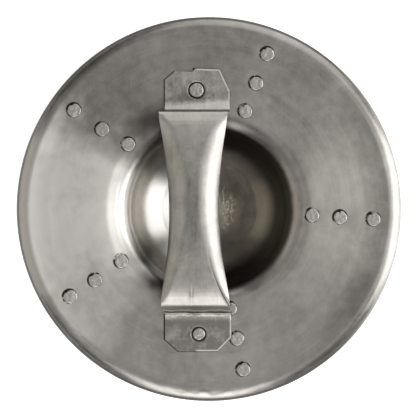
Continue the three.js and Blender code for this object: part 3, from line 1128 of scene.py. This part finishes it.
def handle_seams_and_painted_shade(tree, position, tabs, wavy):
    """Dark rings round the handle's rivets, and painted shade under its tabs, at its risers and on steep
    faces.
    """
    x, y, z = tree.parts(position)
    along = tree.math("ABSOLUTE", y)
    ring = tree.effect("Rivet Seams", position=position)["Handle"]
    ring = tree.fade(tree.total(ring, tree.fade(y, -MM, 0.0, SMALLER_REAR_TAIL / MM)), 6.3, 7.0)
    # Painted shade from here on: under the tabs, on the left flange's low edge, at the risers' feet, by the
    # ledge and on steep faces.
    under_tab = tree.product(tabs, tree.fade(z, TAB_TOP - 1.6 * MM, TAB_TOP - 0.9 * MM))
    flange = tree.product(
        tree.fade(z, 52 * MM, 57 * MM, 0.7),
        tree.fade(x, -20 * MM, -14 * MM),
        tree.fade(along, 60 * MM, 72 * MM),
    )
    front_foot = tree.band(y, (74.9 * MM, 75.6 * MM), (76.7 * MM, 77.5 * MM), 0.9)
    rear_foot = tree.band(y, (-80.9 * MM, -80.1 * MM), (-75.4 * MM, -74.6 * MM), 0.6)
    ledge = tree.line(wavy, -78.5 * MM, 0.2 * MM, 0.8 * MM, 0.9)
    facing_up = tree.parts(tree.add("TexCoord").outputs["Normal"])["Z"]
    facing_up = tree.total(facing_up, tree.fade(x, -24 * MM, -14 * MM, -0.14))
    steep = tree.product(tree.fade(facing_up, 0.3, 0.62, 0.85), tree.fade(along, 62 * MM, 72 * MM))
    crease = crease_shade(tree, x, y)
    return tree.most(ring, under_tab, front_foot, rear_foot, ledge, crease, flange, steep)


def handle_steel():
    settings = bpy.context.scene.buckler_handle
    material, tree, shader, position = new_material("handle_steel")
    grain = tree.effect("Brushed Grain", vector=tree.scaled(position, (1500, 18, 60)), fineness=1.0)
    smudges = tree.effect("Handled Smudges", position=position, size=0.02)
    scratches = tree.effect("Crossed Scratches", position=position, rarity=0.70)["Mask"]
    streaks = tree.noise(tree.scaled(position, (210, 80, 60)), 1.0, detail=5, roughness=0.65)
    x, y, _ = tree.parts(position)
    along = tree.math("ABSOLUTE", y)
    on_tab = tree.math("SUBTRACT", along, tree.product(x, tree.ramp(y, 0.0, MM, 0.0, 0.1)))
    tabs = tree.ramp(on_tab, 81.8 * MM, 84.2 * MM)

    stain = tree.total(
        tree.ramp(smudges["Broad"], 0.0, 1.0, 0.44, 0.2),
        tree.ramp(smudges["Fine"], 0.0, 1.0, 0.14, -0.06),
        tree.ramp(streaks, 0.3, 0.7, 0.07, -0.05),
    )
    stain = tree.product(tabs, stain)
    bend_shade = tree.band(on_tab, (84 * MM, 87 * MM), (88 * MM, 95 * MM), 0.34)
    # Painted shade along the middle of the grip's top, standing in for the dark that it reflects.
    painted_grip_shade = tree.product(tree.line(x, -12.3 * MM, 2 * MM, 8 * MM, 0.42), tree.fade(along, 14 * MM, 46 * MM))
    tone = tree.total(
        tree.product(grain["Lines"], 0.34),
        tree.product(smudges["Broad"], 0.18),
        tree.product(smudges["Fine"], 0.12),
        tree.ramp(streaks, 0.3, 0.7, 0.14, 0.3),
        tree.ramp(y, 46 * MM, 62 * MM, 0.0, 0.24),
    )
    tone = tree.math("SUBTRACT", tone, tree.total(stain, painted_grip_shade, bend_shade), clamped=True)
    steel = tree.blend(tone, opaque(settings.dark), opaque(settings.light))
    steel = tree.blend(tree.product(scratches, 0.3), steel, HANDLE_SCRATCH)

    # Painted highlight: a light line along the edges of the tabs' right-hand parts, which face the light.
    edge = tree.effect("Tab Seams", position=position)["Distance"]
    painted_edge_highlight = tree.product(tree.ramp(edge, -1.5, -0.8), tree.ramp(x, -12 * MM, -8 * MM, 0.0, 0.85), tabs)
    steel = tree.blend(painted_edge_highlight, steel, TAB_EDGE_HIGHLIGHT)
    wavy = tree.total(y, tree.product(tree.noise(position, 75.0, detail=2), 3.2 * MM))
    # The handle's seams and painted shade.
    grime_and_shade = tree.product(handle_seams_and_painted_shade(tree, position, tabs, wavy), 0.95)
    steel = tree.blend(grime_and_shade, steel, HANDLE_SEAMS_AND_PAINTED_SHADE)
    # Painted highlight: a light wavy line by the ledge on the rear riser.
    steel = tree.blend(tree.line(wavy, -77 * MM, 0.1 * MM, 0.7 * MM, 0.5), steel, LEDGE_PAINTED_HIGHLIGHT)
    rough = tree.total(
        0.32,
        tree.product(grain["Lines"], 0.08),
        tree.product(smudges["Fine"], 0.08),
        tree.product(stain, 0.12),
    )
    finish_steel(tree, shader, steel, rough, grain["Lines"])
    return material


def rivet_distance(tree, position):
    """Distance in millimetres from the nearest rivet's axis."""
    seams = tree.effect("Rivet Seams", position=position)
    return tree.least(seams["Field"], seams["Handle"])


def rivet_steel():
    material = bpy.data.materials.get("rivet_steel")
    if material:
        return material
    settings = bpy.context.scene.buckler_rivets
    material, tree, shader, position = new_material("rivet_steel")
    smudges = tree.effect("Handled Smudges", position=position, size=0.011)
    scratches = tree.effect("Crossed Scratches", position=position, rarity=0.66)["Mask"]
    patches = tree.noise(position, 420.0, detail=2)
    tail = tree.attribute("tail")
    distance = rivet_distance(tree, position)
    shifted = rivet_distance(tree, tree.moved(position, (-0.5 * MM, 0.5 * MM, 0)))
    lower_right = tree.math("SUBTRACT", distance, shifted)

    mottle = tree.total(tree.product(smudges["Fine"], 0.7), tree.product(smudges["Broad"], 0.3))
    dull = tuple(0.34 * part for part in settings.steel)
    steel = tree.blend(tree.ramp(mottle, 0.3, 0.7), opaque(settings.steel), opaque(dull))
    lit = tree.product(
        tree.ramp(distance, 3.7, 4.5),
        tree.ramp(lower_right, 0.1, 0.6, 0.0, 0.8),
        tail,
        tree.ramp(patches, 0.4, 0.5, 0.2, 1.0),
    )
    steel = tree.blend(lit, steel, LIT_EDGE)
    # Painted shade on the upper left of each tail's rim, turned from the light, and dark flecks of dirt.
    shade = tree.product(tree.ramp(distance, 4.3, 4.9), tree.fade(lower_right, -0.5, 0.5, 0.95))
    flecks = tree.product(tree.ramp(distance, 2.6, 4.8, 0.25, 1.0), tree.ramp(patches, 0.58, 0.64, 0.0, 0.8))
    steel = tree.blend(tree.product(tree.most(shade, flecks), tail), steel, RIVET_FLECKS_AND_PAINTED_SHADE)
    steel = tree.blend(tree.product(scratches, 0.5), steel, RIVET_SCRATCH)
    rough = tree.total(0.3, tree.product(smudges["Fine"], 0.16))
    finish_steel(tree, shader, steel, rough, smudges["Fine"], strength=0.8, depth=0.3 * MM)
    return material


def floor_paint():
    settings = bpy.context.scene.buckler_stage
    material, _, shader, _ = new_material("floor_paint")
    shader.inputs["Base Color"].default_value = opaque(settings.floor)
    shader.inputs["Roughness"].default_value = 0.9
    shader.inputs["Emission Color"].default_value = opaque(settings.floor)
    shader.inputs["Emission Strength"].default_value = 0.72
    return material


# ---- Stage ------------------------------------------------------------------------------------


def soft_box(name, azimuth, zenith, distance, width, length, radiance, colour):
    """An area light that faces the shield from an azimuth and an angle off the vertical."""
    light = bpy.data.lights.new(name, "AREA")
    light.shape = "RECTANGLE"
    light.size = width
    light.size_y = length
    light.energy = radiance * math.pi * width * length
    light.color = colour
    lamp = bpy.data.objects.new(name, light)
    turn = Euler((math.radians(zenith), 0, math.radians(azimuth + 90)), "XYZ")
    lamp.rotation_euler = turn
    lamp.location = turn.to_matrix() @ Vector((0, 0, distance))
    bpy.context.scene.collection.objects.link(lamp)


def build_stage():
    settings = bpy.context.scene.buckler_stage
    scene = bpy.context.scene
    scene.view_settings.view_transform = "Standard"

    bm = bmesh.new()
    bmesh.ops.create_grid(bm, x_segments=2, y_segments=2, size=3)
    mesh = bpy.data.meshes.new("floor")
    bm.to_mesh(mesh)
    bm.free()
    mesh.materials.append(floor_paint())
    floor = bpy.data.objects.new("floor", mesh)
    scene.collection.objects.link(floor)

    world = bpy.data.worlds.new("surroundings")
    world.use_nodes = True
    background = world.node_tree.nodes["Background"]
    background.inputs["Color"].default_value = (1.0, 0.985, 0.96, 1)
    background.inputs["Strength"].default_value = settings.surroundings
    scene.world = world

    white = (1.0, 0.99, 0.97)
    soft_box("right_box", 0, 66, 1.5, 1.4, 1.6, 2.3, white)
    soft_box("right_wash", 0, 33, 1.6, 0.5, 1.4, 0.97, white)
    soft_box("bottom_box", 266, 50, 1.5, 0.8, 1.2, 2.2, white)
    soft_box("top_box", 72, 60, 1.5, 1.5, 1.7, 0.8, white)
    soft_box("left_box", 180, 52, 1.5, 1.6, 1.4, 0.45, (1.0, 0.94, 0.80))
    soft_box("overhead_box", 0, 0, 2.3, 2.0, 2.0, 0.24, white)

    camera = bpy.data.cameras.new("camera")
    plate_height = back_at(LIP_RADIUS)[0]
    camera.lens = camera.sensor_width * (settings.camera_height - plate_height) / settings.view_width
    view = bpy.data.objects.new("camera", camera)
    view.location = (-0.8 * MM, 0.8 * MM, settings.camera_height)
    scene.collection.objects.link(view)
    scene.camera = view


# ---- Operators and panel ----------------------------------------------------------------------


class BUCKLER_OT_stage(bpy.types.Operator):
    """Sets the floor, the lights and the camera"""

    bl_idname = "buckler.stage"
    bl_label = "Stage"

    def execute(self, context):
        build_stage()
        return {"FINISHED"}


class BUCKLER_OT_plate(bpy.types.Operator):
    """Spins the plate with its boss, lip, dish and rim"""

    bl_idname = "buckler.plate"
    bl_label = "Plate"

    def execute(self, context):
        build_plate()
        return {"FINISHED"}


class BUCKLER_OT_handle(bpy.types.Operator):
    """Bends the strap handle with its two tabs"""

    bl_idname = "buckler.handle"
    bl_label = "Handle"

    def execute(self, context):
        build_handle()
        return {"FINISHED"}


class BUCKLER_OT_field_rivets(bpy.types.Operator):
    """Sets the five rows of rivets in the plate"""

    bl_idname = "buckler.field_rivets"
    bl_label = "Field Rivets"

    def execute(self, context):
        for seed, name in enumerate(FIELD_RIVETS):
            build_rivet(name, seed, 0.0, FIELD_TAIL_RADIUS)
        return {"FINISHED"}


class BUCKLER_OT_handle_rivets(bpy.types.Operator):
    """Sets the two rivets that hold the handle's tabs"""

    bl_idname = "buckler.handle_rivets"
    bl_label = "Handle Rivets"

    def execute(self, context):
        held = TAB_GAP + context.scene.buckler_handle.sheet
        for seed, name in enumerate(HANDLE_RIVETS):
            build_rivet(name, seed + 20, held, HANDLE_TAIL_RADIUS - seed * SMALLER_REAR_TAIL)
        return {"FINISHED"}


OPERATORS = (
    BUCKLER_OT_stage,
    BUCKLER_OT_plate,
    BUCKLER_OT_handle,
    BUCKLER_OT_field_rivets,
    BUCKLER_OT_handle_rivets,
)
SETTINGS = {
    "buckler_plate": BucklerPlateSettings,
    "buckler_handle": BucklerHandleSettings,
    "buckler_rivets": BucklerRivetSettings,
    "buckler_stage": BucklerStageSettings,
}


class BUCKLER_PT_panel(bpy.types.Panel):
    """Lists the buckler's pieces and their settings"""

    bl_idname = "BUCKLER_PT_panel"
    bl_label = "Buckler"
    bl_space_type = "VIEW_3D"
    bl_region_type = "UI"
    bl_category = "Buckler"

    def draw(self, context):
        for operator in OPERATORS:
            self.layout.operator(operator.bl_idname)
        for name, settings in SETTINGS.items():
            box = self.layout.box()
            for setting in settings.__annotations__:
                box.prop(getattr(context.scene, name), setting)


def register():
    for item in (*SETTINGS.values(), *OPERATORS, BUCKLER_PT_panel):
        bpy.utils.register_class(item)
    for name, settings in SETTINGS.items():
        setattr(bpy.types.Scene, name, PointerProperty(type=settings))


def unregister():
    for name in SETTINGS:
        delattr(bpy.types.Scene, name)
    for item in (BUCKLER_PT_panel, *OPERATORS[::-1], *reversed(SETTINGS.values())):
        bpy.utils.unregister_class(item)


def main():
    register()
    bpy.ops.buckler.stage()
    bpy.ops.buckler.plate()
    bpy.ops.buckler.handle()
    bpy.ops.buckler.field_rivets()
    bpy.ops.buckler.handle_rivets()


if __name__ == "__main__":
    main()
